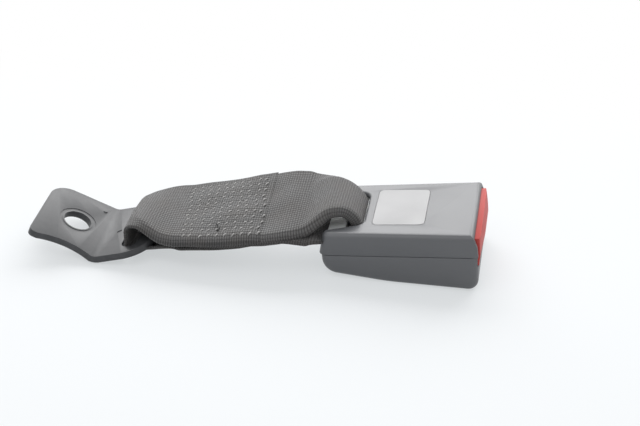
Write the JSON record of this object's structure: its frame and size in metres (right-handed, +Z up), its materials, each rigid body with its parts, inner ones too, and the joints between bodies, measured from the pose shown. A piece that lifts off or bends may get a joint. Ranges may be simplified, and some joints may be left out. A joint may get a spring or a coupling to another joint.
{
  "type": "seat belt buckle",
  "caption": "Seat belt buckle with a sprung press button and tongue latch, on a short looped webbing strap with a bent, drilled anchor plate.",
  "frame": {"origin": "centre of the anchor bolt hole, at mid-thickness of the anchor plate's flange", "axes": "+X from the anchor plate towards the buckle's press button, +Z up from the surface it lies on, +Y across to the far side"},
  "size_m": [0.192, 0.0514, 0.0287],
  "materials": {
    "coated_steel": "dark grey coating, satin",
    "webbing": "black woven polyester webbing",
    "black_plastic": "fine moulded grain",
    "label": "satin film label",
    "bright_plated_steel": "bright zinc plate",
    "natural_plastic": "plain moulding",
    "hardened_steel": "ground",
    "spring_steel": "drawn wire",
    "red_plastic": "semi-gloss moulding"
  },
  "bodies": {
    "anchor": {"anchor_plate": "coated_steel"},
    "strap": {"webbing_strap": "webbing"},
    "buckle": {"upper_cover": "black_plastic", "lower_cover": "black_plastic", "rating_label": "label", "base_frame": "bright_plated_steel", "tongue_guide": "natural_plastic", "latch_pivot_pin": "hardened_steel", "latch_spring": "spring_steel", "lock_spring": "spring_steel", "ejector_spring_left": "spring_steel", "ejector_spring_right": "spring_steel", "button_spring_left": "spring_steel", "button_spring_right": "spring_steel"},
    "button": {"press_button": "red_plastic"},
    "ejector": {"ejector": "natural_plastic"},
    "lock": {"lock_slider": "natural_plastic", "lock_pin": "hardened_steel"},
    "latch": {"latch_plate": "hardened_steel"}
  },
  "joints": [
    {"name": "strap_on_anchor", "type": "hinge", "parent": "anchor", "child": "strap", "pos_m": [0.03386, 0, 0.00015], "axis": [0, -1, 0], "range_deg": [-10, 12]},
    {"name": "buckle_on_strap", "type": "hinge", "parent": "strap", "child": "buckle", "pos_m": [0.11492, 0.0066, 0.01027], "axis": [0, -1, 0], "range_deg": [-12, 4]},
    {"name": "button_press", "type": "slide", "parent": "buckle", "child": "button", "axis": [-0.9952, 0, -0.0979], "range_m": [0, 0.0062], "stiffness_N_per_m": 900, "springref_m": -0.003, "deforming": ["button_spring_left", "button_spring_right"]},
    {"name": "ejector_slide", "type": "slide", "parent": "buckle", "child": "ejector", "axis": [-0.9952, 0, -0.0979], "range_m": [0, 0.012], "stiffness_N_per_m": 300, "springref_m": -0.004, "deforming": ["ejector_spring_left", "ejector_spring_right"]},
    {"name": "lock_slide", "type": "slide", "parent": "buckle", "child": "lock", "axis": [0.9952, 0, 0.0979], "range_m": [0, 0.006], "deforming": ["lock_spring"]},
    {"name": "latch_swing", "type": "hinge", "parent": "buckle", "child": "latch", "pos_m": [0.14097, 0.0066, 0.00386], "axis": [0, 1, 0], "range_deg": [0, 21], "deforming": ["latch_spring"]}
  ],
  "couplings": [
    {"joint": "lock_slide", "follows": "ejector_slide", "ratio": 0.5},
    {"joint": "latch_swing", "follows": "ejector_slide", "rad_per_m": 30.543}
  ]
}
